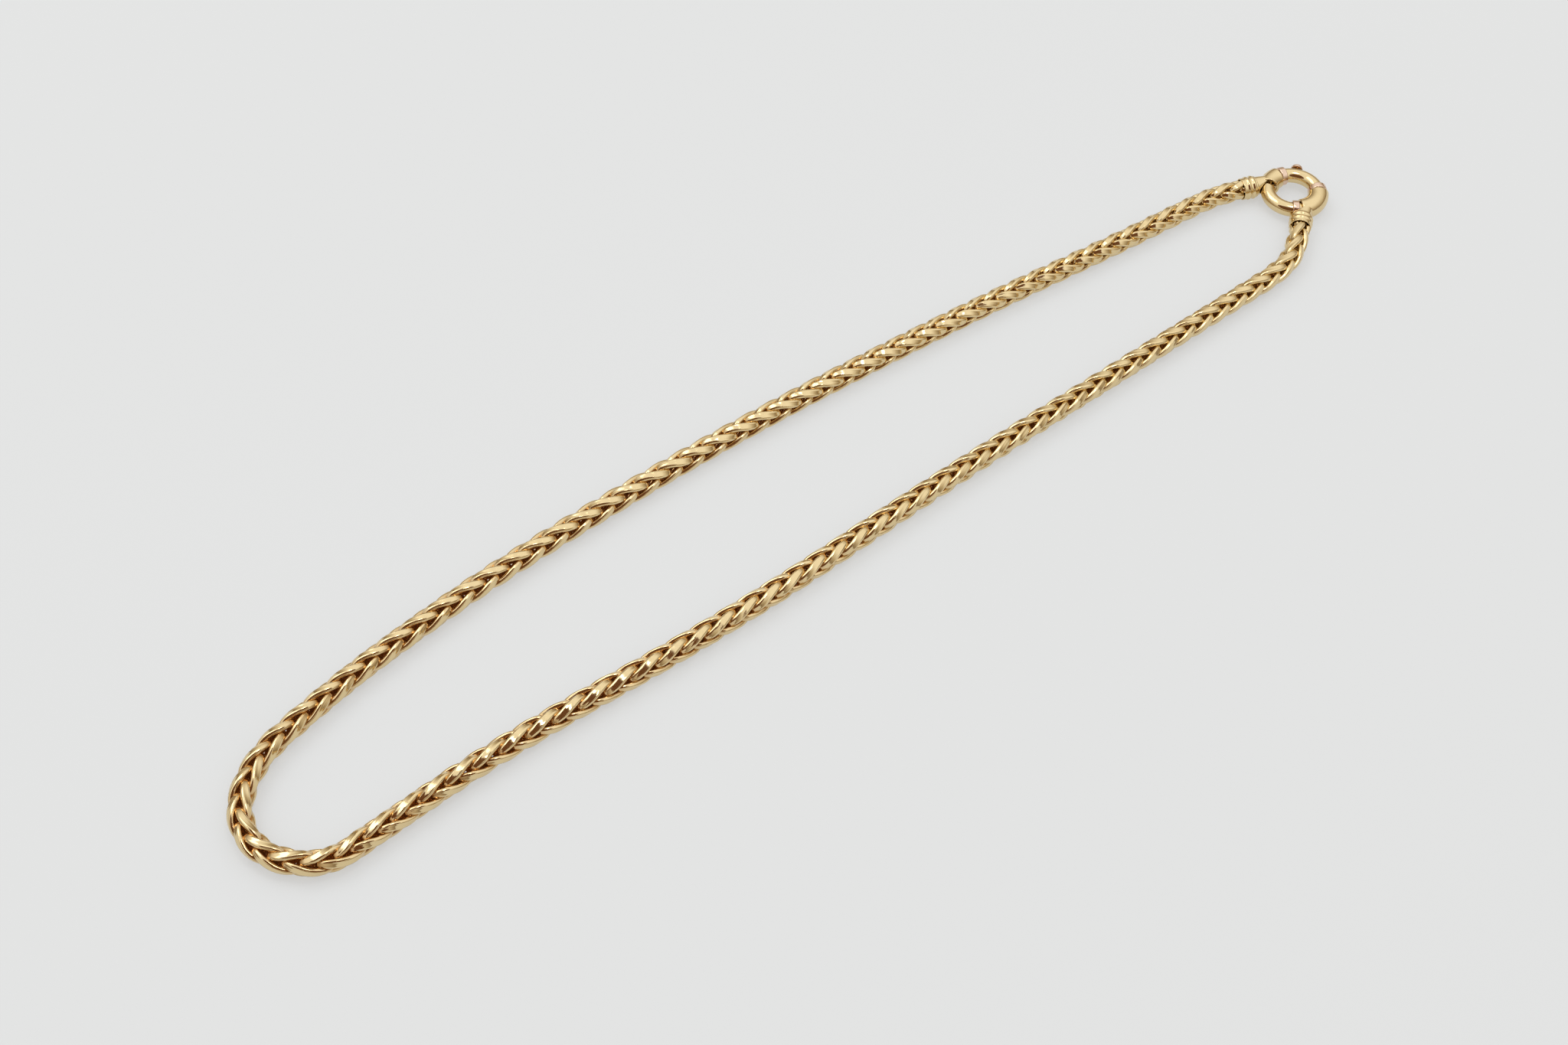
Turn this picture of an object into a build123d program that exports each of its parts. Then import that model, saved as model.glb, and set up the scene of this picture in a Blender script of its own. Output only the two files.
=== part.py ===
from build123d import *
from math import cos, degrees, exp, radians, sin
import os

# A gold wheat chain necklace, fastened by a bolt ring and lying flat on a table.
# Millimetres, +Z up, the table at Z = 0, the loop's long way along X: the front of
# the chain at -X, the clasp at +X. The origin is under the middle of the whole box.

# The chain's way round the table, seen from above, as the corner points of one smooth
# curve: from the cap hooked on the bolt, along the far side, round the front, along the
# near side and back to the cap that is caught between the collars.
chain_route = [
    (99.7, 4.4), (94.2, 6.5), (85.9, 7.4), (71.9, 8.5), (38.9, 12.0), (-6.1, 15.0),
    (-51.1, 15.0), (-78.1, 12.5), (-92.1, 10.0), (-102.6, 7.5), (-109.6, 1.0), (-110.1, -7.5),
    (-103.6, -14.5), (-94.6, -14.0), (-72.1, -13.0), (-31.1, -15.5), (13.9, -14.0), (55.9, -14.0),
    (77.9, -14.0), (90.9, -14.0), (96.9, -10.9), (100.8, -7.8),
]

# Chain
link_count = 197
chain_width = 3.9         # across the links at the front
wire_diameter = 0.85      # of the front links
end_scale = 0.845         # size of an end link against a front link

# Link: an oval of round wire given a quarter turn about the chain, in link spacings
link_length = 2.45        # from the middle of its first bar to the middle of its last
elbow_radius = 0.30       # of the wire's bend at the ends of both bars
side_radius = 3.0         # of the wire's gentle bend half way along its sides
bar_turn = 13.0           # degrees that a bar stands off the square, to its own side

# How the chain has rolled over about its own length, in degrees
roll_at_start = -97.0
roll_at_end = 115.0
roll_lean = 33.0          # further lean towards the side that faces lean_heading
lean_heading = 232.3

# End caps: a cup over the last link, two raised rings, and a fan that closes round the clasp
wire_clearance = 0.12     # between the last link and the cup
cup_wall = 0.20
cup_back = 1.30           # from the last bar to the back of the cup
cup_depth = 1.35          # from the last bar to the mouth of the cup, past its pin
ridge_height = 0.15       # of the two rings above the cup
ridge_thickness = 0.62
ridge_spacing = 0.98
ridge_start = 0.30         # from the back of the cup to the first ring
pin_diameter = 0.60
fan_root_width = 3.40
fan_thickness = 3.30
fan_edge_radius = 1.50
fan_wall = 0.45
fan_play = 0.15           # between the fan's eye and the clasp ring's tube or collars
fan_end_gap = 0.36        # from the fan's ends to the collars beside them
table_gap = 0.02          # under the cap's rings
lift_length = 9.0         # over which the chain comes up to a cap

# Bolt ring clasp
ring_centre = (105.35, -1.45)
ring_radius = 4.50        # to the middle of the tube
tube_diameter = 2.60
bolt_diameter = 1.45
bolt_clearance = 0.20     # all round the bolt in its bore
collar_height = 0.38      # above the tube
collar_width = 1.20
collar_edge_radius = 0.22
collar_gap = 0.08         # from the tube to a collar, and from the neck to the knob
neck_diameter = 0.62
neck_clearance = 0.15     # on each side of the neck in its slot
knob_diameter = 2.20
knob_height = 0.80
knob_gap = 0.14           # from the tube to the underside of the knob

# Places round the clasp ring, degrees anticlockwise from +X
mouth_angle = 72.0        # where the bolt leaves its housing, under the first collar
socket_angle = 130.0      # where the tube takes the bolt's tip
knob_angle = 38.0
stop_collar_angle = -32.0
last_collar_angle = -131.0
bolt_tip_depth = 6.0      # that the shut bolt stands in its socket
bolt_tail = 7.0           # of bolt behind the knob
bolt_travel = 50.0        # that the bolt is drawn back to open the clasp
travel_margin = 4.0       # of bore and slot beyond the bolt's travel

up = Vector(0, 0, 1)


def halfway(first, second):
    """The point between two points of the route."""
    return ((first[0] + second[0]) / 2, (first[1] + second[1]) / 2)


with BuildLine() as route:
    last = len(chain_route) - 2
    for k in range(1, last + 1):
        run_start = chain_route[0] if k == 1 else halfway(chain_route[k - 1], chain_route[k])
        run_end = chain_route[-1] if k == last else halfway(chain_route[k], chain_route[k + 1])
        Bezier(run_start, chain_route[k], run_end)
way = route.wires()[0]

# The links shrink by a constant ratio from the front one to both ends
front_link = (link_count - 1) / 2
link_scales = [end_scale ** (abs(k - front_link) / front_link) for k in range(link_count)]
front_spacing = way.length / (sum(link_scales[:-1]) + link_length * link_scales[-1])
link_starts = [front_spacing * sum(link_scales[:k]) for k in range(link_count)]
corner_reach = (chain_width - wire_diameter) / 2

# The cups are bored for the end links, and the clasp lies as high as the cups do
end_half_width = end_scale * chain_width / 2
end_wire_radius = end_scale * wire_diameter / 2
end_spacing = end_scale * front_spacing
cup_bore_radius = end_half_width + wire_clearance
cup_radius = cup_bore_radius + cup_wall
ridge_radius = cup_radius + ridge_height
clasp_height = ridge_radius + table_gap
end_lift = clasp_height - end_half_width


def chain_point(distance, radius, azimuth):
    """A point beside the chain's axis: so far along it, so far out, at an angle from straight up."""
    middle = way.position_at(distance, position_mode=PositionMode.LENGTH)
    outward = way.tangent_at(distance, position_mode=PositionMode.LENGTH).cross(up)
    share = abs(2 * distance / way.length - 1)
    from_end = min(distance, way.length - distance)
    height = chain_width / 2 * end_scale ** share + end_lift * exp(-((from_end / lift_length) ** 2))
    lean = roll_lean * outward.dot(Vector(cos(radians(lean_heading)), sin(radians(lean_heading)), 0))
    roll = roll_at_start + (roll_at_end - roll_at_start) * distance / way.length + lean
    angle = radians(azimuth + roll)
    return middle + up * (height + radius * cos(angle)) + outward * (radius * sin(angle))


def make_link(index):
    """One link: each half runs from the middle of its first bar round one side to its last bar."""
    scale = link_scales[index]
    spacing = scale * front_spacing
    hand = 1 if index % 2 == 0 else -1
    start = link_starts[index]
    with BuildPart() as link:
        for side in (scale, -scale):
            with BuildLine() as half:
                FilletPolyline(
                    chain_point(start, 0, 0),
                    chain_point(start, side * corner_reach, hand * bar_turn),
                    chain_point(start + spacing * link_length / 2, side * corner_reach, hand * 45),
                    chain_point(start + spacing * link_length, side * corner_reach, hand * (90 - bar_turn)),
                    chain_point(start + spacing * link_length, 0, 0),
                    radius=[elbow_radius * spacing, side_radius * spacing, elbow_radius * spacing],
                )
            run = half.wires()[0]
            with BuildSketch(Plane(origin=run @ 0, z_dir=run % 0)):
                Circle(scale * wire_diameter / 2)
            sweep(clean=False)
    return link.part.solid()


def ring_point(angle, outset=0.0):
    """A point on the middle of the clasp ring's tube, or further out from the ring's centre."""
    distance = ring_radius + outset
    return Vector(
        ring_centre[0] + distance * cos(radians(angle)),
        ring_centre[1] + distance * sin(radians(angle)),
        clasp_height,
    )


def outward_at(angle):
    """Straight out from the clasp ring's centre."""
    return Vector(cos(radians(angle)), sin(radians(angle)), 0)


def tube_section(angle):
    """The plane across the ring's tube, with its X axis outwards."""
    return Plane(origin=ring_point(angle), x_dir=outward_at(angle), z_dir=up.cross(outward_at(angle)))


ring_axis = Axis((ring_centre[0], ring_centre[1], clasp_height), (0, 0, 1))


def add_ring_arc(first, last, diameter, mode=Mode.ADD):
    """A round bar or bore along the middle of the ring's tube, between two angles."""
    with BuildSketch(tube_section(first)) as section:
        Circle(diameter / 2)
    revolve(section.sketch, axis=ring_axis, revolution_arc=last - first, mode=mode)


bore_diameter = bolt_diameter + 2 * bolt_clearance
slot_width = neck_diameter + 2 * neck_clearance
collar_radius = tube_diameter / 2 + collar_height
collar_room = degrees((collar_width / 2 + fan_end_gap) / ring_radius)

# The clasp ring: one bent tube, open from its socket to its mouth
with BuildPart() as clasp_ring:
    add_ring_arc(socket_angle, mouth_angle + 360, tube_diameter)
    add_ring_arc(
        knob_angle - bolt_tail - bolt_travel - travel_margin,
        mouth_angle + travel_margin,
        bore_diameter,
        Mode.SUBTRACT,
    )
    add_ring_arc(
        socket_angle - travel_margin,
        socket_angle + bolt_tip_depth + travel_margin,
        bore_diameter,
        Mode.SUBTRACT,
    )
    with BuildSketch(tube_section(knob_angle - bolt_travel - travel_margin)):
        with Locations((tube_diameter / 2, 0)):
            Rectangle(tube_diameter, slot_width)
    revolve(axis=ring_axis, revolution_arc=bolt_travel + 2 * travel_margin, mode=Mode.SUBTRACT)
clasp_ring.part.label = "clasp_ring"

# Three rounded bands round the tube: at the mouth, and at both ends of the near cap's fan
collars = {}
for collar_name, collar_angle in (
    ("mouth_collar", mouth_angle), ("stop_collar", stop_collar_angle), ("last_collar", last_collar_angle),
):
    with BuildPart() as collar:
        with BuildSketch(Plane(origin=ring_point(collar_angle), x_dir=outward_at(collar_angle))) as band:
            with Locations((collar_radius - (collar_height - collar_gap) / 2, 0)):
                Rectangle(collar_height - collar_gap, collar_width)
            fillet(band.vertices().group_by(Axis.X)[-1], collar_edge_radius)
        revolve(axis=Axis(ring_point(collar_angle), up.cross(outward_at(collar_angle))))
    collar.part.label = collar_name
    collars[collar_name] = collar.part

# The bolt: a curved rod with a neck that stands out through the slot
with BuildPart() as bolt:
    add_ring_arc(knob_angle - bolt_tail, socket_angle + bolt_tip_depth, bolt_diameter)
    fillet(bolt.edges().filter_by(GeomType.CIRCLE), bolt_diameter / 4)
    with BuildSketch(Plane(origin=ring_point(knob_angle), z_dir=outward_at(knob_angle))):
        Circle(neck_diameter / 2)
    extrude(amount=tube_diameter / 2 + knob_gap + knob_height / 2)
bolt.part.label = "bolt"

# The knob: a low round button on the neck
with BuildPart() as bolt_knob:
    knob_seat = Plane(
        origin=ring_point(knob_angle, tube_diameter / 2 + knob_gap), z_dir=outward_at(knob_angle)
    )
    with BuildSketch(knob_seat):
        Circle(knob_diameter / 2)
    extrude(amount=knob_height)
    fillet(bolt_knob.edges().sort_by(Axis(knob_seat.origin, knob_seat.z_dir))[-1], knob_height * 0.6)
    with BuildSketch(knob_seat):
        Circle(neck_diameter / 2 + collar_gap)
    extrude(amount=knob_height / 2 + collar_gap, mode=Mode.SUBTRACT)
bolt_knob.part.label = "bolt_knob"


def make_end_cap(end, fan_angles, collar_angles):
    """The cap at the start (0) or the end (1) of the chain's way, with its fan between two angles."""
    distance = end * way.length
    inwards = 1 - 2 * end
    last_bar = chain_point(distance, 0, 0)
    chain_way = way.tangent_at(distance, position_mode=PositionMode.LENGTH) * inwards
    cup_back_middle = last_bar - chain_way * cup_back
    fan_middle = sum(fan_angles) / 2
    fan_ends = [ring_point(angle) for angle in fan_angles]
    fan_diameter = tube_diameter + 2 * (fan_play + fan_wall)
    floor = end_wire_radius + wire_clearance

    # The last link hangs on a pin, put where its missing neighbour's bar would be
    pin_offset = link_length - 2
    side_turn = bar_turn + (45 - bar_turn) * pin_offset / (link_length / 2)
    pin_azimuth = 90 + side_turn if end == 0 else 180 - side_turn
    pin_place = distance + inwards * pin_offset * end_spacing
    pin_ends = [chain_point(pin_place, reach, pin_azimuth)
                for reach in (cup_radius - cup_wall / 2, cup_wall / 2 - cup_radius)]

    with BuildPart() as cap:
        with BuildSketch(Plane(origin=cup_back_middle, x_dir=chain_way.cross(up), z_dir=chain_way)):
            Circle(cup_radius)
        extrude(amount=cup_back + cup_depth)
        for ridge in (0, 1):
            ridge_middle = cup_back_middle + chain_way * (
                ridge_start + ridge_thickness / 2 + ridge * ridge_spacing)
            with BuildSketch(Plane(origin=ridge_middle, x_dir=chain_way.cross(up), z_dir=up)):
                with Locations((ridge_radius - ridge_thickness / 2, 0)):
                    Circle(ridge_thickness / 2)
            revolve(axis=Axis(ridge_middle, chain_way))
        with BuildSketch(Plane(origin=cup_back_middle, x_dir=chain_way.cross(up), z_dir=chain_way)):
            RectangleRounded(fan_root_width, fan_thickness, fan_edge_radius)
        with BuildSketch(
            Plane(
                origin=(fan_ends[0] + fan_ends[1]) / 2,
                x_dir=outward_at(fan_middle).cross(up),
                z_dir=outward_at(fan_middle),
            )
        ):
            RectangleRounded((fan_ends[1] - fan_ends[0]).length, fan_thickness, fan_edge_radius)
        loft()
        add_ring_arc(fan_angles[0], fan_angles[1], fan_diameter)
        add_ring_arc(0, 360, tube_diameter + 2 * fan_play, Mode.SUBTRACT)
        for collar_angle in collar_angles:
            add_ring_arc(
                collar_angle - collar_room,
                collar_angle + collar_room,
                2 * (collar_radius + fan_play),
                Mode.SUBTRACT,
            )
        with BuildSketch(Plane(origin=last_bar - chain_way * floor, z_dir=chain_way)):
            Circle(cup_bore_radius)
        extrude(amount=floor + cup_depth, mode=Mode.SUBTRACT)
        with BuildSketch(Plane(origin=pin_ends[0], z_dir=pin_ends[1] - pin_ends[0])):
            Circle(pin_diameter / 2)
        extrude(amount=(pin_ends[1] - pin_ends[0]).length)
    return cap


end_cap_far = make_end_cap(0, (mouth_angle + collar_room, socket_angle - collar_room / 2), [mouth_angle])
end_cap_far.part.label = "end_cap_far"
end_cap_near = make_end_cap(
    1,
    (last_collar_angle + collar_room, stop_collar_angle - collar_room),
    [last_collar_angle, stop_collar_angle],
)
end_cap_near.part.label = "end_cap_near"

# The chain meets itself at its front link, which belongs to the far half
links = [make_link(index) for index in range(link_count)]
near_start = link_count // 2 + 1
chain_far = Compound(links[:near_start])
chain_far.label = "chain_far"
chain_near = Compound(links[near_start:])
chain_near.label = "chain_near"

os.makedirs("parts", exist_ok=True)
export_step(chain_far, "parts/chain_far.step")
export_step(chain_near, "parts/chain_near.step")
export_step(end_cap_far.part, "parts/end_cap_far.step")
export_step(end_cap_near.part, "parts/end_cap_near.step")
export_step(clasp_ring.part, "parts/clasp_ring.step")
for collar_name, collar_part in collars.items():
    export_step(collar_part, f"parts/{collar_name}.step")
export_step(bolt.part, "parts/bolt.step")
export_step(bolt_knob.part, "parts/bolt_knob.step")
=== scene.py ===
import math

import bmesh
import bpy
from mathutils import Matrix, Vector


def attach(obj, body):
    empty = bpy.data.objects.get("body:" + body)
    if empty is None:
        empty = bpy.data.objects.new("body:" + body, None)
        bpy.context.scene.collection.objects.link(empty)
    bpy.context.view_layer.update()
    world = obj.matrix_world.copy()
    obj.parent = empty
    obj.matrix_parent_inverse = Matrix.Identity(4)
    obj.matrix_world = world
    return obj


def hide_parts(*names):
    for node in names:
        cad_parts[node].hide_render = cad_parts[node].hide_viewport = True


bl_info = {
    "name": "Wheat Chain Necklace",
    "version": (1, 0, 0),
    "blender": (4, 5, 0),
    "location": "View3D > Sidebar > Necklace",
    "description": "Makes a gold wheat chain necklace with its end caps and bolt ring",
    "category": "Add Mesh",
}

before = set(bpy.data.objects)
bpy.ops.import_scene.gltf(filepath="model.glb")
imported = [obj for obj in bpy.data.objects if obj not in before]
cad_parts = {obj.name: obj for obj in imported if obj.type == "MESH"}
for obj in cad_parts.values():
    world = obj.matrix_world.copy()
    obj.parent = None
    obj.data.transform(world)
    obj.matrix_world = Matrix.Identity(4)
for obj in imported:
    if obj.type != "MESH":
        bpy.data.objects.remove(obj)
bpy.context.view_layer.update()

MM = 0.001
NECKLACE_BODY = "necklace"

# The chain's way round the table, in metres: from the far cap round the front to the near cap
CHAIN_ROUTE = [
    (0.0997, 0.0044), (0.0942, 0.0065), (0.0859, 0.0074), (0.0719, 0.0085), (0.0389, 0.0120),
    (-0.0061, 0.0150), (-0.0511, 0.0150), (-0.0781, 0.0125), (-0.0921, 0.0100), (-0.1026, 0.0075),
    (-0.1096, 0.0010), (-0.1101, -0.0075), (-0.1036, -0.0145), (-0.0946, -0.0140), (-0.0721, -0.0130),
    (-0.0311, -0.0155), (0.0139, -0.0140), (0.0559, -0.0140), (0.0779, -0.0140), (0.0909, -0.0140),
    (0.0969, -0.0109), (0.1008, -0.0078),
]


def linear_colour(hex_colour):
    """An sRGB hex value as linear red, green, blue and alpha."""
    channels = [int(hex_colour[k:k + 2], 16) / 255 for k in (1, 3, 5)]
    return tuple(c / 12.92 if c <= 0.04045 else ((c + 0.055) / 1.055) ** 2.4 for c in channels) + (1.0,)


def direction(heading, rise=0.0):
    """The unit vector with this heading on the table and this rise above it."""
    return Vector((math.cos(heading) * math.cos(rise), math.sin(heading) * math.cos(rise), math.sin(rise)))


def add_node(tree, kind, inputs=None, **settings):
    """Adds a node, sets its properties, and fills its inputs with values or with what other nodes give.

    A node that stands for an input gives its first output.
    """
    node = tree.nodes.new(kind)
    for name, value in settings.items():
        setattr(node, name, value)
    for key, value in (inputs or {}).items():
        socket = node.inputs[key]
        if isinstance(value, bpy.types.Node):
            value = value.outputs[0]
        if isinstance(value, bpy.types.NodeSocket):
            tree.links.new(value, socket)
        else:
            socket.default_value = value
    return node


def link_object(name, mesh):
    """A new object at the origin that holds the mesh."""
    thing = bpy.data.objects.new(name, mesh)
    bpy.context.scene.collection.objects.link(thing)
    return thing


class NECKLACE_PG_chain(bpy.types.PropertyGroup):
    """Sizes of the chain and its links"""

    link_count: bpy.props.IntProperty(
        name="Links", description="How many links the chain has", default=197, min=3)
    spare_links: bpy.props.IntProperty(
        name="Spare links", description="Further links at each end, which fill the caps", default=2, min=0)
    width: bpy.props.FloatProperty(
        name="Width", description="Across the links at the front", default=3.96 * MM, subtype="DISTANCE")
    end_scale: bpy.props.FloatProperty(
        name="End size", description="Length of an end link against a front one", default=0.845)
    end_width: bpy.props.FloatProperty(
        name="End width", description="Width of an end link against a front one", default=0.965)
    link_length: bpy.props.FloatProperty(
        name="Link length", description="Between the middles of a link's bars, in link spacings",
        default=2.95)
    bar_turn: bpy.props.FloatProperty(
        name="Bar turn", description="How far a bar stands off the square",
        default=math.radians(8.0), subtype="ANGLE")
    twist_ease: bpy.props.FloatProperty(
        name="Twist ease", description="How far a link's twist gathers at its middle",
        default=0.22, min=0.0, max=1.0, subtype="FACTOR")
    wire_thickness: bpy.props.FloatProperty(
        name="Wire thickness", description="Of a link's wire, towards the chain's middle, in link spacings",
        default=0.44)
    wire_breadth: bpy.props.FloatProperty(
        name="Wire breadth", description="Of the rolled wire at a link's sides, in link spacings",
        default=0.61)
    taper: bpy.props.FloatProperty(
        name="Taper", description="Share of that breadth lost towards a link's ends",
        default=0.45, min=0.0, max=1.0, subtype="FACTOR")
    lift: bpy.props.FloatProperty(
        name="Lift", description="How far the caps hold the chain's ends up", default=0.18 * MM,
        subtype="DISTANCE")
    grip: bpy.props.FloatProperty(
        name="Grip", description="Share by which a cap presses the links together",
        default=0.09, min=0.0, max=1.0, subtype="FACTOR")
    grip_length: bpy.props.FloatProperty(
        name="Grip length", description="Over which they come together", default=2.2 * MM,
        subtype="DISTANCE")
    lift_length: bpy.props.FloatProperty(
        name="Lift length", description="Over which the chain comes up to a cap", default=9.0 * MM,
        subtype="DISTANCE")
    roll_start: bpy.props.FloatProperty(
        name="Roll at start", description="Turn of the chain about its length at the far cap",
        default=math.radians(-97.0), subtype="ANGLE")
    roll_end: bpy.props.FloatProperty(
        name="Roll at end", description="Turn of the chain about its length at the near cap",
        default=math.radians(115.0), subtype="ANGLE")
    roll_lean: bpy.props.FloatProperty(
        name="Roll lean", description="Further turn where the chain's side faces the lean heading",
        default=math.radians(33.0), subtype="ANGLE")
    lean_heading: bpy.props.FloatProperty(
        name="Lean heading", description="Direction on the table", default=math.radians(232.3),
        subtype="ANGLE")
    slack: bpy.props.FloatProperty(
        name="Slack", description="Turn that the chain loses where it comes out of the front bend",
        default=math.radians(17.0), subtype="ANGLE")
    slack_place: bpy.props.FloatProperty(
        name="Slack place", description="Its middle, as a share of the chain's length",
        default=0.55, min=0.0, max=1.0, subtype="FACTOR")
    slack_spread: bpy.props.FloatProperty(
        name="Slack spread", description="How far it reaches, as a share of the length",
        default=0.045, min=0.001, max=1.0, subtype="FACTOR")


# The names that the chain's node tree gives its inputs too
CHAIN_SIZES = tuple(NECKLACE_PG_chain.__annotations__)


class NECKLACE_PG_finish(bpy.types.PropertyGroup):
    """Colours of the metals and of the table"""

    yellow_gold: bpy.props.StringProperty(
        name="Yellow gold", description="sRGB colour of the polished gold", default="#E4CD9D")
    # The painted shade between the links, a darker and warmer gold where less light reaches
    painted_shade_gold: bpy.props.StringProperty(
        name="Painted shade gold", description="sRGB colour of the gold between the links", default="#C08A50")
    rose_gold: bpy.props.StringProperty(
        name="Rose gold", description="sRGB colour of the collars and the knob", default="#E3C6AE")
    table: bpy.props.StringProperty(
        name="Table", description="sRGB colour of the surface", default="#8F9192")
    table_glow: bpy.props.FloatProperty(
        name="Table glow", description="Light from below, which keeps the shadows faint", default=0.467)


class NECKLACE_PG_view(bpy.types.PropertyGroup):
    """Where the camera stands"""

    place: bpy.props.FloatVectorProperty(
        name="Place", description="Of the camera", default=(-0.1448, -0.1747, 0.2762),
        subtype="TRANSLATION")
    heading: bpy.props.FloatProperty(
        name="Heading", description="Direction that the camera faces on the table",
        default=math.radians(52.34), subtype="ANGLE")
    drop: bpy.props.FloatProperty(
        name="Drop", description="How far down the camera looks", default=math.radians(52.0),
        subtype="ANGLE")
    lens: bpy.props.FloatProperty(
        name="Lens", description="Focal length in millimetres", default=50.0)


def polished_gold(name, base, deep=None):
    """Cast gold, or drawn and rolled gold wire with painted shade in a deep colour and a faint painted glow
    between its links, buffed to a mirror.

    Buffing leaves fine random scratches and a faintly uneven surface, which break the highlights up.
    Drawing and rolling leave shallow facets along a wire, which split its highlight into streaks.
    """
    material = bpy.data.materials.new(name)
    material.use_nodes = True
    tree = material.node_tree
    tree.nodes.clear()
    place = add_node(tree, "ShaderNodeTexCoord").outputs["Object"]
    # Waves about 1.5 mm long from hand polishing, seen as bends in the highlights
    waves_per_metre = 650.0
    # Buffing scratches about 0.1 mm apart, coarser than the real ones so that they show
    scratches_per_metre = 9000.0
    waves = add_node(tree, "ShaderNodeTexNoise", {"Vector": place, "Scale": waves_per_metre, "Detail": 1.0})
    scratches = add_node(tree, "ShaderNodeTexNoise", {
        "Vector": place, "Scale": scratches_per_metre, "Detail": 2.0})
    wavy = add_node(tree, "ShaderNodeBump", {
        "Height": waves.outputs["Fac"], "Strength": 0.35, "Distance": 0.08 * MM})
    rough = add_node(tree, "ShaderNodeMapRange", {
        "Value": scratches.outputs["Fac"], "From Min": 0.3, "From Max": 0.75,
        "To Min": 0.08, "To Max": 0.18})
    shader = add_node(tree, "ShaderNodeBsdfPrincipled", {
        "Base Color": linear_colour(base), "Metallic": 1.0, "Roughness": rough, "Normal": wavy})
    if deep:
        # Facets two or three link spacings long, two or three across the wire, and others on each link
        facet_scale = (0.4, 5.0, 5.0)
        along_wire = add_node(tree, "ShaderNodeAttribute", attribute_name="wire").outputs["Vector"]
        chance = add_node(tree, "ShaderNodeAttribute", attribute_name="chance").outputs["Fac"]
        own = add_node(tree, "ShaderNodeMath", {0: chance, 1: 90.0}, operation="MULTIPLY")
        stretched = add_node(tree, "ShaderNodeVectorMath", {
            0: along_wire, 1: facet_scale, 2: own}, operation="MULTIPLY_ADD")
        facets = add_node(tree, "ShaderNodeTexNoise", {"Vector": stretched, "Scale": 1.0, "Detail": 0.6})
        faceted = add_node(tree, "ShaderNodeBump", {
            "Height": facets.outputs["Fac"], "Strength": 1.0, "Distance": 0.07 * MM, "Normal": wavy})
        tree.links.new(faceted.outputs["Normal"], shader.inputs["Normal"])
        # Painted shade: between the links, where less light reaches, the gold is drawn darker and warmer
        depth = add_node(tree, "ShaderNodeAttribute", attribute_name="depth").outputs["Fac"]
        inside_out = {"Value": depth, "From Min": 0.45, "From Max": 0.98}
        unshaded = add_node(tree, "ShaderNodeMapRange", inside_out)
        shaded_tint = add_node(tree, "ShaderNodeMix", {
            "Factor": unshaded, "A": linear_colour(deep), "B": linear_colour(base)}, data_type="RGBA")
        tree.links.new(shaded_tint.outputs["Result"], shader.inputs["Base Color"])
        # Light that goes on between the links for longer than the render follows it
        trapped = add_node(tree, "ShaderNodeMapRange", {**inside_out, "To Min": 0.035, "To Max": 0.0})
        shader.inputs["Emission Color"].default_value = linear_colour("#AC7238")
        tree.links.new(trapped.outputs["Result"], shader.inputs["Emission Strength"])
    add_node(tree, "ShaderNodeOutputMaterial", {"Surface": shader})
    return material


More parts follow.
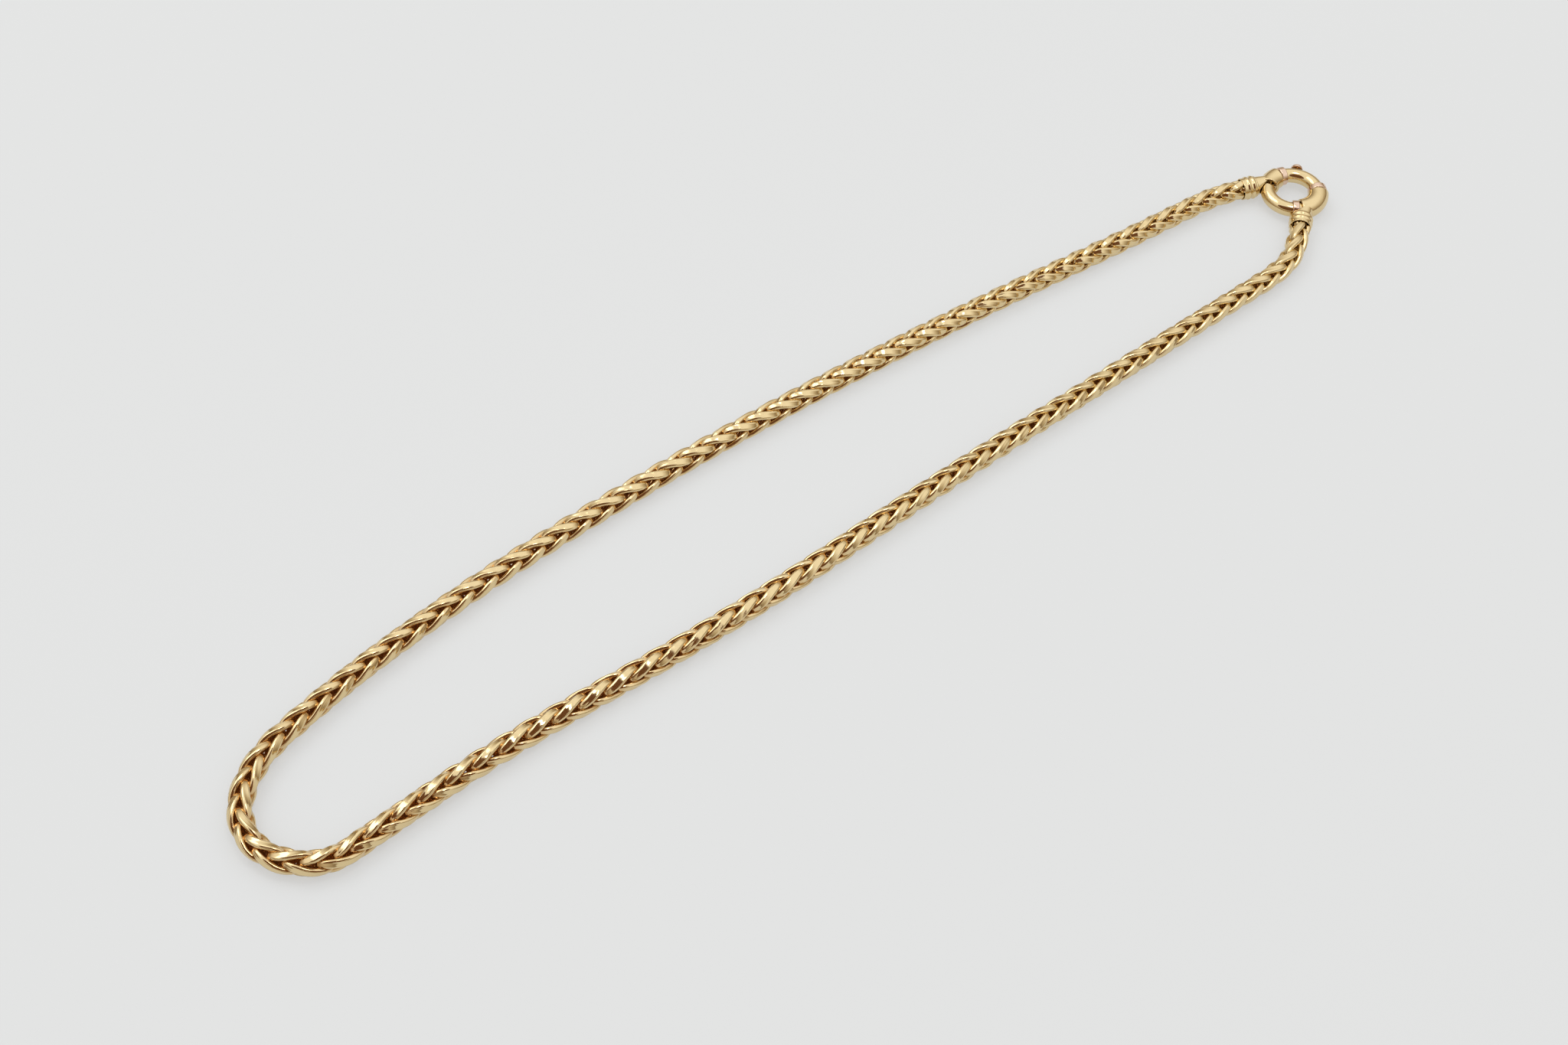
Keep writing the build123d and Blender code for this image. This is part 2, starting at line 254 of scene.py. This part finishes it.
def link_mesh(name, chain, spacing, hand):
    """One straight-chain link in link spacings: X along the chain, its first bar at X = 0."""
    # Rings of points along the wire, the short steps that space them evenly, and how square the oval is
    stations, fine_steps, squareness = 30, 1440, 2.7
    # Below these shares of its full reach the wire is a bar, and its section is fully round
    bar_share, round_share = 0.15, 0.3
    # Where this hand's links start on the pattern along the wire, and how far it spreads across it
    pattern_start, pattern_share = hand * 7, 0.25
    # Half of the rolled wire's section, outward then across: flat outside, bevelled, rounder inside
    half_section = ((1.0, 0.56), (0.90, 0.80), (0.45, 1.0), (-0.35, 0.97), (-0.95, 0.55))
    section = half_section + tuple((c, -s) for c, s in reversed(half_section))
    sides = len(section)
    flat_side = sides - 1
    length = chain.link_length
    thickness = chain.wire_thickness
    reach = chain.width / spacing / 2 - thickness / 2

    def centre(turn):
        """The wire's middle there, going once round the oval."""
        c, s = math.cos(turn), math.sin(turn)
        along = length / 2 * (1 - math.copysign(abs(c) ** (2 / squareness), c))
        out = reach * math.copysign(abs(s) ** (2 / squareness), s)
        share = along / length
        eased = share - chain.twist_ease * math.sin(2 * math.pi * share) / (2 * math.pi)
        azimuth = hand * (chain.bar_turn + (math.pi / 2 - 2 * chain.bar_turn) * eased)
        return Vector((along, out * math.cos(azimuth), out * math.sin(azimuth)))

    # The stations lie at equal distances along the wire
    fine = [centre(2 * math.pi * k / fine_steps) for k in range(fine_steps)]
    steps = [(fine[(k + 1) % fine_steps] - fine[k]).length for k in range(fine_steps)]
    total = sum(steps)
    ring = []
    walked, target = 0.0, 0.0
    for k in range(fine_steps):
        if walked >= target and len(ring) < stations:
            ring.append(fine[k])
            target += total / stations
        walked += steps[k]

    mesh = bmesh.new()
    wire = mesh.verts.layers.float_vector.new("wire")
    rows = []
    for k in range(stations):
        middle = ring[k]
        way = (ring[(k + 1) % stations] - ring[k - 1]).normalized()
        radial = Vector((0, middle.y, middle.z))
        share = min(radial.length / reach, 1.0)
        away = radial - way * radial.dot(way)
        if share < bar_share:
            away = Vector((1 if middle.x > length / 2 else -1, 0, 0))
            away -= way * away.dot(way)
        away.normalize()
        across = way.cross(away)
        flat = max(0.0, (share - round_share) / (1 - round_share))
        flat *= 1 - chain.taper * (2 * middle.x / length - 1) ** 2
        breadth = thickness + (chain.wire_breadth - thickness) * flat
        row = []
        for side, (c, s) in enumerate(section):
            # The wire is rounder where it turns inwards
            angle = 2 * math.pi * (side + 0.5) / sides
            c, s = c * flat + math.cos(angle) * (1 - flat), s * flat + math.sin(angle) * (1 - flat)
            offset = away * (c * thickness / 2) + across * (s * breadth / 2)
            vertex = mesh.verts.new(middle + offset)
            vertex[wire] = (pattern_start + total * k / stations, c * pattern_share, s * pattern_share)
            row.append(vertex)
        rows.append(row)
    for k in range(stations):
        here, there = rows[k], rows[(k + 1) % stations]
        for side in range(sides):
            after = (side + 1) % sides
            mesh.faces.new((here[side], here[after], there[after], there[side]))
    for k in range(stations):
        for side in (0, flat_side):
            mesh.edges.get((rows[k][side], rows[(k + 1) % stations][side])).smooth = False
    bmesh.ops.recalc_face_normals(mesh, faces=mesh.faces)
    data = bpy.data.meshes.new(name)
    mesh.to_mesh(data)
    mesh.free()
    return link_object(name, data)


def chain_tree():
    """Geometry Nodes that set links along a route, shrink them towards both ends and roll the chain."""
    tree = bpy.data.node_groups.new("Wheat Chain", "GeometryNodeTree")
    tree.is_modifier = True
    tree.interface.new_socket("Geometry", in_out="OUTPUT", socket_type="NodeSocketGeometry")
    inputs = {
        "Object": ("Route", "Right Link", "Left Link"),
        "Int": ("Link Count", "Spare Links", "First Link", "Last Link"),
        "Float": (
            "Width", "End Scale", "End Width", "Link Length", "Lift", "Lift Length", "Grip", "Grip Length",
            "Roll Start", "Roll End", "Roll Lean", "Slack", "Slack Place", "Slack Spread"),
        "Vector": ("Lean Way",),
        "Material": ("Metal",),
    }
    for kind, names in inputs.items():
        for name in names:
            tree.interface.new_socket(name, in_out="INPUT", socket_type="NodeSocket" + kind)
    given = add_node(tree, "NodeGroupInput").outputs
    chance_seed = 5
    # Height of the chain's middle over the table, in half widths, so that no wire dips into the table
    rest_height = 1.025
    # What is left of the spare links' length once they are pressed up inside the caps
    pressed_share = 0.25
    # Links towards the ends are finer, and the painted shade between them fades there
    end_shade_fade = 0.45

    def bell(value):
        """1 at 0, falling smoothly to nothing on both sides."""
        square = add_node(tree, "ShaderNodeMath", {0: value, 1: value}, operation="MULTIPLY")
        power = add_node(tree, "ShaderNodeMath", {0: square, 1: -1.0}, operation="MULTIPLY")
        return add_node(tree, "ShaderNodeMath", {0: power}, operation="EXPONENT")

    route = add_node(tree, "GeometryNodeObjectInfo", {"Object": given["Route"]}).outputs["Geometry"]
    length = add_node(tree, "GeometryNodeCurveLength", {"Curve": route})

    # One point for each link. Its share runs from 0 at the front link to 1 at both ends
    count = add_node(tree, "ShaderNodeMath", {
        0: given["Spare Links"], 1: 2.0, 2: given["Link Count"]}, operation="MULTIPLY_ADD")
    line = add_node(tree, "GeometryNodeMeshLine", {"Count": count})
    points = add_node(tree, "GeometryNodeMeshToPoints", {"Mesh": line})
    point = add_node(tree, "GeometryNodeInputIndex")
    index = add_node(tree, "ShaderNodeMath", {0: point, 1: given["Spare Links"]}, operation="SUBTRACT")
    last_link = add_node(tree, "ShaderNodeMath", {0: given["Link Count"], 1: 1.0}, operation="SUBTRACT")
    front = add_node(tree, "ShaderNodeMath", {0: last_link, 1: 0.5}, operation="MULTIPLY")
    offset = add_node(tree, "ShaderNodeMath", {0: index, 1: front}, operation="SUBTRACT")
    distance = add_node(tree, "ShaderNodeMath", {0: offset}, operation="ABSOLUTE")
    share = add_node(tree, "ShaderNodeMath", {0: distance, 1: front}, operation="DIVIDE", use_clamp=True)

    # The link spacing that fills the route, and where each link starts after all those before it
    scale = add_node(tree, "ShaderNodeMath", {0: given["End Scale"], 1: share}, operation="POWER")
    summed = add_node(tree, "GeometryNodeAccumulateField", {"Value": scale}, data_type="FLOAT").outputs
    overhang = add_node(tree, "ShaderNodeMath", {0: given["Link Length"], 1: 1.0}, operation="SUBTRACT")
    tail = add_node(tree, "ShaderNodeMath", {0: overhang, 1: given["End Scale"]}, operation="MULTIPLY")
    spare = add_node(tree, "ShaderNodeMath", {
        0: given["Spare Links"], 1: given["End Scale"]}, operation="MULTIPLY")
    starts = add_node(tree, "ShaderNodeMath", {
        0: spare, 1: -2.0, 2: summed["Total"]}, operation="MULTIPLY_ADD")
    whole = add_node(tree, "ShaderNodeMath", {0: starts, 1: tail}, operation="ADD")
    spacing = add_node(tree, "ShaderNodeMath", {0: length, 1: whole}, operation="DIVIDE")
    before = add_node(tree, "ShaderNodeMath", {0: summed["Trailing"], 1: spare}, operation="SUBTRACT")
    start = add_node(tree, "ShaderNodeMath", {0: spacing, 1: before}, operation="MULTIPLY")
    place = add_node(tree, "ShaderNodeCombineXYZ", {"X": start})
    size = add_node(tree, "ShaderNodeMath", {0: spacing, 1: scale}, operation="MULTIPLY")
    width_scale = add_node(tree, "ShaderNodeMath", {0: given["End Width"], 1: share}, operation="POWER")
    wide = add_node(tree, "ShaderNodeMath", {0: spacing, 1: width_scale}, operation="MULTIPLY")
    sizes = add_node(tree, "ShaderNodeCombineXYZ", {"X": size, "Y": wide, "Z": wide})
    chance = add_node(tree, "FunctionNodeRandomValue", {"ID": point, "Seed": chance_seed}, data_type="FLOAT")
    odd = add_node(tree, "ShaderNodeMath", {0: point, 1: 2.0}, operation="MODULO")
    for name, kind, value in (
            ("link_size", "FLOAT_VECTOR", sizes), ("chance", "FLOAT", chance.outputs[1]),
            ("left_hand", "FLOAT", odd)):
        points = add_node(tree, "GeometryNodeStoreNamedAttribute", {
            "Geometry": points, "Name": name, "Value": value}, data_type=kind, domain="POINT")
    laid = add_node(tree, "GeometryNodeSetPosition", {"Geometry": points, "Position": place})

    # Only the links of this half
    early = add_node(tree, "FunctionNodeCompare", {
        "A": index, "B": given["First Link"]}, data_type="INT", operation="LESS_THAN")
    late = add_node(tree, "FunctionNodeCompare", {
        "A": index, "B": given["Last Link"]}, data_type="INT", operation="GREATER_THAN")
    outside = add_node(tree, "FunctionNodeBooleanMath", {0: early, 1: late}, operation="OR")
    chosen = add_node(tree, "GeometryNodeDeleteGeometry", {
        "Geometry": laid, "Selection": outside}, domain="POINT")

    # Links of the two hands by turns
    hands = add_node(tree, "GeometryNodeGeometryToInstance")
    for name in ("Left Link", "Right Link"):
        link = add_node(tree, "GeometryNodeObjectInfo", {"Object": given[name]})
        tree.links.new(link.outputs["Geometry"], hands.inputs[0])
    own_size = add_node(tree, "GeometryNodeInputNamedAttribute", {
        "Name": "link_size"}, data_type="FLOAT_VECTOR")
    own_hand = add_node(tree, "GeometryNodeInputNamedAttribute", {"Name": "left_hand"}, data_type="FLOAT")
    links = add_node(tree, "GeometryNodeInstanceOnPoints", {
        "Points": chosen, "Instance": hands, "Pick Instance": True, "Instance Index": own_hand,
        "Scale": own_size})
    straight = add_node(tree, "GeometryNodeRealizeInstances", {"Geometry": links})

    # Where a point of the straight chain lies along the route
    position = add_node(tree, "GeometryNodeInputPosition")
    parts = add_node(tree, "ShaderNodeSeparateXYZ", {"Vector": position}).outputs
    along = add_node(tree, "ShaderNodeClamp", {"Value": parts["X"], "Min": 0.0, "Max": length})
    past = add_node(tree, "ShaderNodeMath", {0: parts["X"], 1: along}, operation="SUBTRACT")
    beyond = add_node(tree, "ShaderNodeMath", {0: past, 1: pressed_share}, operation="MULTIPLY")
    sample = add_node(tree, "GeometryNodeSampleCurve", {
        "Curves": route, "Length": along}, mode="LENGTH", use_all_curves=True).outputs
    crossed = add_node(tree, "ShaderNodeVectorMath", {
        0: sample["Tangent"], 1: (0.0, 0.0, 1.0)}, operation="CROSS_PRODUCT")
    outward = add_node(tree, "ShaderNodeVectorMath", {0: crossed}, operation="NORMALIZE")
    way_share = add_node(tree, "ShaderNodeMath", {0: along, 1: length}, operation="DIVIDE")
    centred = add_node(tree, "ShaderNodeMath", {0: way_share, 1: 2.0, 2: -1.0}, operation="MULTIPLY_ADD")
    from_middle = add_node(tree, "ShaderNodeMath", {0: centred}, operation="ABSOLUTE")
    left_over = add_node(tree, "ShaderNodeMath", {0: length, 1: along}, operation="SUBTRACT")
    to_end = add_node(tree, "ShaderNodeMath", {0: along, 1: left_over}, operation="MINIMUM")

    # How high the chain's middle lies there
    narrowed = add_node(tree, "ShaderNodeMath", {0: given["End Width"], 1: from_middle}, operation="POWER")
    full_width = add_node(tree, "ShaderNodeMath", {0: given["Width"], 1: narrowed}, operation="MULTIPLY")
    half_width = add_node(tree, "ShaderNodeMath", {0: full_width, 1: 0.5}, operation="MULTIPLY")
    from_cap = add_node(tree, "ShaderNodeMath", {0: to_end, 1: given["Lift Length"]}, operation="DIVIDE")
    lift = add_node(tree, "ShaderNodeMath", {0: given["Lift"], 1: bell(from_cap)}, operation="MULTIPLY")
    height = add_node(tree, "ShaderNodeMath", {
        0: half_width, 1: rest_height, 2: lift}, operation="MULTIPLY_ADD")

    # How far it has rolled, and how tightly a cap grips it
    whole_roll = add_node(tree, "ShaderNodeMath", {
        0: given["Roll End"], 1: given["Roll Start"]}, operation="SUBTRACT")
    even_roll = add_node(tree, "ShaderNodeMath", {
        0: whole_roll, 1: way_share, 2: given["Roll Start"]}, operation="MULTIPLY_ADD")
    facing = add_node(tree, "ShaderNodeVectorMath", {
        0: outward, 1: given["Lean Way"]}, operation="DOT_PRODUCT").outputs["Value"]
    leant = add_node(tree, "ShaderNodeMath", {
        0: given["Roll Lean"], 1: facing, 2: even_roll}, operation="MULTIPLY_ADD")
    past_slack = add_node(tree, "ShaderNodeMath", {
        0: way_share, 1: given["Slack Place"]}, operation="SUBTRACT")
    from_slack = add_node(tree, "ShaderNodeMath", {
        0: past_slack, 1: given["Slack Spread"]}, operation="DIVIDE")
    slack = add_node(tree, "ShaderNodeMath", {0: given["Slack"], 1: bell(from_slack)}, operation="MULTIPLY")
    turn = add_node(tree, "ShaderNodeMath", {0: leant, 1: slack}, operation="SUBTRACT")
    in_grip = add_node(tree, "ShaderNodeMath", {0: to_end, 1: given["Grip Length"]}, operation="DIVIDE")
    gripped = add_node(tree, "ShaderNodeMath", {0: given["Grip"], 1: bell(in_grip)}, operation="MULTIPLY")
    held = add_node(tree, "ShaderNodeMath", {0: 1.0, 1: gripped}, operation="SUBTRACT")
    rolled = add_node(tree, "ShaderNodeVectorRotate", {
        "Vector": position, "Angle": turn}, rotation_type="X_AXIS")
    pressed = add_node(tree, "ShaderNodeVectorMath", {0: rolled, "Scale": held}, operation="SCALE")
    section = add_node(tree, "ShaderNodeSeparateXYZ", {"Vector": pressed}).outputs

    # The straight chain laid along the route
    rise = add_node(tree, "ShaderNodeMath", {0: height, 1: section["Y"]}, operation="ADD")
    upward = add_node(tree, "ShaderNodeCombineXYZ", {"Z": rise})
    raised = add_node(tree, "ShaderNodeVectorMath", {0: sample["Position"], 1: upward}, operation="ADD")
    beside = add_node(tree, "ShaderNodeVectorMath", {
        0: outward, 1: section["Z"], 2: raised}, operation="MULTIPLY_ADD")
    bent = add_node(tree, "ShaderNodeVectorMath", {
        0: sample["Tangent"], 1: beyond, 2: beside}, operation="MULTIPLY_ADD")

    # Depth is 0 in the chain's middle and about 1 on its outside, and higher towards the ends; it sets where
    # the gold gets painted shade
    cross_section = add_node(tree, "ShaderNodeVectorMath", {
        0: position, 1: (0.0, 1.0, 1.0)}, operation="MULTIPLY")
    radius = add_node(tree, "ShaderNodeVectorMath", {0: cross_section}, operation="LENGTH").outputs["Value"]
    outwardness = add_node(tree, "ShaderNodeMath", {0: radius, 1: half_width}, operation="DIVIDE")
    towards_end = add_node(tree, "ShaderNodeMath", {0: from_middle, 1: from_middle}, operation="MULTIPLY")
    depth = add_node(tree, "ShaderNodeMath", {
        0: towards_end, 1: end_shade_fade, 2: outwardness}, operation="MULTIPLY_ADD")
    deep = add_node(tree, "GeometryNodeStoreNamedAttribute", {
        "Geometry": straight, "Name": "depth", "Value": depth}, data_type="FLOAT", domain="POINT")
    shaped = add_node(tree, "GeometryNodeSetPosition", {"Geometry": deep, "Position": bent})
    smooth = add_node(tree, "GeometryNodeSetShadeSmooth", {"Geometry": shaped})
    real = add_node(tree, "GeometryNodeRealizeInstances", {"Geometry": smooth})
    finished = add_node(tree, "GeometryNodeSetMaterial", {"Geometry": real, "Material": given["Metal"]})
    add_node(tree, "NodeGroupOutput", {"Geometry": finished})
    return tree


def evaluated_mesh(thing):
    """The object's mesh with its modifiers applied."""
    thing.update_tag()
    bpy.context.view_layer.update()
    evaluated = thing.evaluated_get(bpy.context.evaluated_depsgraph_get())
    return bpy.data.meshes.new_from_object(evaluated)


def apply_tree(name, tree, values):
    """The mesh that the tree makes with these inputs, as a plain object."""
    holder = link_object(name + "_nodes", bpy.data.meshes.new(name + "_nodes"))
    modifier = holder.modifiers.new("Geometry Nodes", "NODES")
    modifier.node_group = tree
    for socket in tree.interface.items_tree:
        if socket.in_out == "INPUT":
            modifier[socket.identifier] = values[socket.name]
    piece = link_object(name, evaluated_mesh(holder))
    holder.modifiers.clear()
    bpy.data.objects.remove(holder)
    return piece


def dress(piece, node, body, material):
    """Puts a finished piece in the place of its CAD node."""
    piece.data.name = piece.name
    piece.data.materials.clear()
    piece.data.materials.append(material)
    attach(piece, body)
    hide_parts(node)
    print(piece.name, len(piece.data.polygons), "faces")


class NECKLACE_OT_chain(bpy.types.Operator):
    """Makes the two halves of the wheat chain along the route"""

    bl_idname = "necklace.chain"
    bl_label = "Wheat Chain"

    def execute(self, context):
        chain = context.scene.necklace_chain
        finish = context.scene.necklace_finish
        curve = bpy.data.curves.new("chain_route", "CURVE")
        curve.dimensions = "3D"
        spline = curve.splines.new("NURBS")
        spline.points.add(len(CHAIN_ROUTE) - 1)
        for point, (x, y) in zip(spline.points, CHAIN_ROUTE):
            point.co = (x, y, 0.0, 1.0)
        spline.order_u = 3
        spline.use_endpoint_u = True
        spline.resolution_u = 32
        route = link_object("chain_route", curve)
        context.view_layer.update()

        front = (chain.link_count - 1) / 2
        sizes = [chain.end_scale ** (abs(k - front) / front) for k in range(chain.link_count)]
        spacing = spline.calc_length() / (sum(sizes) + (chain.link_length - 1) * chain.end_scale)
        helpers = {
            "Route": route,
            "Right Link": link_mesh("right_link", chain, spacing, 1),
            "Left Link": link_mesh("left_link", chain, spacing, -1),
        }
        gold = polished_gold("polished yellow gold wire", finish.yellow_gold, finish.painted_shade_gold)
        values = {name.replace("_", " ").title(): getattr(chain, name) for name in CHAIN_SIZES}
        values.update(helpers)
        values["Lean Way"] = tuple(direction(chain.lean_heading))
        values["Metal"] = gold
        tree = chain_tree()
        front_link = chain.link_count // 2
        halves = (
            ("far_links", "chain_far", -chain.spare_links, front_link),
            ("near_links", "chain_near", front_link + 1, chain.link_count - 1 + chain.spare_links),
        )
        for name, node, first, last in halves:
            piece = apply_tree(name, tree, {**values, "First Link": first, "Last Link": last})
            dress(piece, node, NECKLACE_BODY, gold)
        for helper in helpers.values():
            bpy.data.objects.remove(helper)
        return {"FINISHED"}


def merged_copy(node, name):
    """The CAD piece's surface as one joined mesh."""
    mesh = bmesh.new()
    mesh.from_mesh(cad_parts[node].data)
    bmesh.ops.remove_doubles(mesh, verts=mesh.verts, dist=1e-7)
    data = bpy.data.meshes.new(name)
    mesh.to_mesh(data)
    mesh.free()
    data.materials.clear()
    return link_object(name, data)


class NECKLACE_OT_caps(bpy.types.Operator):
    """Makes the two soldered end caps, with their joints flowing into each other"""

    bl_idname = "necklace.caps"
    bl_label = "End Caps"

    def execute(self, context):
        # The size of the new surface's squares, and how often it is smoothed
        grain, rounds = 0.07 * MM, 6
        gold = polished_gold("polished yellow gold castings", context.scene.necklace_finish.yellow_gold)
        for node in ("end_cap_far", "end_cap_near"):
            piece = merged_copy(node, node.replace("end_cap", "cap"))
            remesh = piece.modifiers.new("Remesh", "REMESH")
            remesh.mode = "VOXEL"
            remesh.voxel_size = grain
            remesh.use_smooth_shade = True
            soften = piece.modifiers.new("Smooth", "SMOOTH")
            soften.factor = 0.5
            soften.iterations = rounds
            mesh = evaluated_mesh(piece)
            piece.modifiers.clear()
            piece.data = mesh
            dress(piece, node, NECKLACE_BODY, gold)
        return {"FINISHED"}


class NECKLACE_OT_clasp(bpy.types.Operator):
    """Makes the bolt ring: its tube, collars, bolt and knob"""

    bl_idname = "necklace.clasp"
    bl_label = "Bolt Ring"

    def execute(self, context):
        finish = context.scene.necklace_finish
        gold = polished_gold("polished yellow gold tube", finish.yellow_gold)
        rose = polished_gold("polished rose gold", finish.rose_gold)
        # Edges that turn by more than this stay sharp
        sharp_turn = math.radians(35)
        pieces = (
            ("clasp_ring", "ring_tube", NECKLACE_BODY, gold, "yellow_gold"),
            ("mouth_collar", "collar_mouth", NECKLACE_BODY, rose, "rose_gold"),
            ("stop_collar", "collar_stop", NECKLACE_BODY, rose, "rose_gold"),
            ("last_collar", "collar_last", NECKLACE_BODY, rose, "rose_gold"),
            ("bolt", "bolt_rod", "bolt", gold, "yellow_gold"),
            ("bolt_knob", "knob", "bolt", rose, "rose_gold"),
        )
        for node, name, body, material, slot in pieces:
            piece = merged_copy(node, name)
            piece.data.shade_smooth()
            piece.data.set_sharp_from_angle(angle=sharp_turn)
            dress(piece, node, body, material)
        return {"FINISHED"}


class NECKLACE_OT_stage(bpy.types.Operator):
    """Makes the pale table, the soft light and the camera"""

    bl_idname = "necklace.stage"
    bl_label = "Stage"

    def execute(self, context):
        scene = context.scene
        view = scene.necklace_view
        paper = bpy.data.materials.new("matt white paper")
        paper.use_nodes = True
        shader = paper.node_tree.nodes["Principled BSDF"]
        shader.inputs["Base Color"].default_value = linear_colour(scene.necklace_finish.table)
        shader.inputs["Roughness"].default_value = 0.9
        shader.inputs["Specular IOR Level"].default_value = 0.2
        shader.inputs["Emission Color"].default_value = (0.995, 1.0, 1.0, 1.0)
        shader.inputs["Emission Strength"].default_value = scene.necklace_finish.table_glow
        half = 1.5
        corners = [(-half, -half, 0), (half, -half, 0), (half, half, 0), (-half, half, 0)]
        data = bpy.data.meshes.new("table")
        data.from_pydata(corners, [], [(0, 1, 2, 3)])
        data.materials.append(paper)
        link_object("table", data)

        world = bpy.data.worlds.new("studio")
        scene.world = world
        world.use_nodes = True
        tree = world.node_tree
        tree.nodes.clear()
        ray = add_node(tree, "ShaderNodeTexCoord").outputs["Generated"]
        rise = add_node(tree, "ShaderNodeSeparateXYZ", {"Vector": ray}).outputs["Z"]
        ramp = add_node(tree, "ShaderNodeValToRGB", {"Fac": rise})
        # The light's colour by the sine of its height: brown near the table, pale grey overhead
        stops = (
            (0.0, "#6A5B49"), (0.34, "#A39A8C"), (0.70, "#D6D6D6"), (0.84, "#D9D9D9"), (0.92, "#D4D4D4"),
            (1.0, "#CFCFCF"))
        while len(ramp.color_ramp.elements) < len(stops):
            ramp.color_ramp.elements.new(0.5)
        for stop, (place, colour) in zip(ramp.color_ramp.elements, stops):
            stop.position = place
            stop.color = linear_colour(colour)
        glow = add_node(tree, "ShaderNodeBackground", {"Color": ramp.outputs["Color"], "Strength": 1.62})
        add_node(tree, "ShaderNodeOutputWorld", {"Surface": glow.outputs[0]})

        # A brown card round the camera shows as crescents in the metal, and only there
        card = bpy.data.materials.new("brown card")
        card.use_nodes = True
        card.node_tree.nodes.clear()
        dull = add_node(card.node_tree, "ShaderNodeEmission", {"Color": linear_colour("#6B4426")})
        add_node(card.node_tree, "ShaderNodeOutputMaterial", {"Surface": dull})
        card_heading, card_rise, card_distance = math.radians(232.3), math.radians(57.0), 0.30
        half_aside, half_above, card_points = 0.25, 0.18, 48
        faced = Vector((-0.04, -0.02, 0.0))
        towards = direction(card_heading, card_rise)
        aside = direction(card_heading + math.pi / 2)
        above = towards.cross(aside)
        middle = faced + towards * card_distance
        turns = [2 * math.pi * k / card_points for k in range(card_points)]
        rim = [
            middle + aside * half_aside * math.cos(turn) + above * half_above * math.sin(turn)
            for turn in turns]
        data = bpy.data.meshes.new("camera_card")
        data.from_pydata(rim, [], [range(card_points)])
        data.materials.append(card)
        screen = link_object("camera_card", data)
        screen.visible_camera = screen.visible_diffuse = screen.visible_shadow = False

        # Soft boxes: name, place, size, power and colour
        boxes = (
            ("key_box", (-0.12, 0.55, 0.85), 0.50, 1.3, (1.0, 0.99, 0.97)),
            ("top_box", (0.12, -0.06, 0.85), 0.15, 0.5, (1.0, 0.98, 0.95)),
        )
        for name, spot, size, power, colour in boxes:
            lamp = bpy.data.lights.new(name, "AREA")
            lamp.shape = "SQUARE"
            lamp.size = size
            lamp.energy = power
            lamp.color = colour
            holder = bpy.data.objects.new(name, lamp)
            scene.collection.objects.link(holder)
            holder.location = spot
            holder.rotation_euler = (-Vector(spot)).to_track_quat("-Z", "Y").to_euler()

        data = bpy.data.cameras.new("camera")
        data.lens = view.lens
        data.sensor_width = 36.0
        data.clip_start = 0.01
        camera = bpy.data.objects.new("camera", data)
        scene.collection.objects.link(camera)
        camera.location = view.place
        gaze = direction(view.heading, -view.drop)
        camera.rotation_euler = gaze.to_track_quat("-Z", "Y").to_euler()
        scene.camera = camera
        scene.view_settings.view_transform = "Standard"
        return {"FINISHED"}


class NECKLACE_PT_panel(bpy.types.Panel):
    """The necklace's pieces and sizes"""

    bl_idname = "NECKLACE_PT_panel"
    bl_label = "Wheat Chain Necklace"
    bl_space_type = "VIEW_3D"
    bl_region_type = "UI"
    bl_category = "Necklace"

    def draw(self, context):
        for group, name in GROUPS:
            box = self.layout.box()
            for setting in group.__annotations__:
                box.prop(getattr(context.scene, name), setting)
        for operator in OPERATORS:
            self.layout.operator(operator.bl_idname)


GROUPS = (
    (NECKLACE_PG_chain, "necklace_chain"),
    (NECKLACE_PG_finish, "necklace_finish"),
    (NECKLACE_PG_view, "necklace_view"),
)
OPERATORS = (NECKLACE_OT_chain, NECKLACE_OT_caps, NECKLACE_OT_clasp, NECKLACE_OT_stage)


def register():
    """Adds the classes and the scene's settings."""
    for group, name in GROUPS:
        bpy.utils.register_class(group)
        setattr(bpy.types.Scene, name, bpy.props.PointerProperty(type=group))
    for operator in OPERATORS:
        bpy.utils.register_class(operator)
    bpy.utils.register_class(NECKLACE_PT_panel)


def unregister():
    """Takes them away again."""
    bpy.utils.unregister_class(NECKLACE_PT_panel)
    for operator in reversed(OPERATORS):
        bpy.utils.unregister_class(operator)
    for group, name in reversed(GROUPS):
        delattr(bpy.types.Scene, name)
        bpy.utils.unregister_class(group)


def main():
    """Makes the whole necklace and its stage."""
    register()
    bpy.ops.necklace.chain()
    bpy.ops.necklace.caps()
    bpy.ops.necklace.clasp()
    bpy.ops.necklace.stage()


if __name__ == "__main__":
    main()
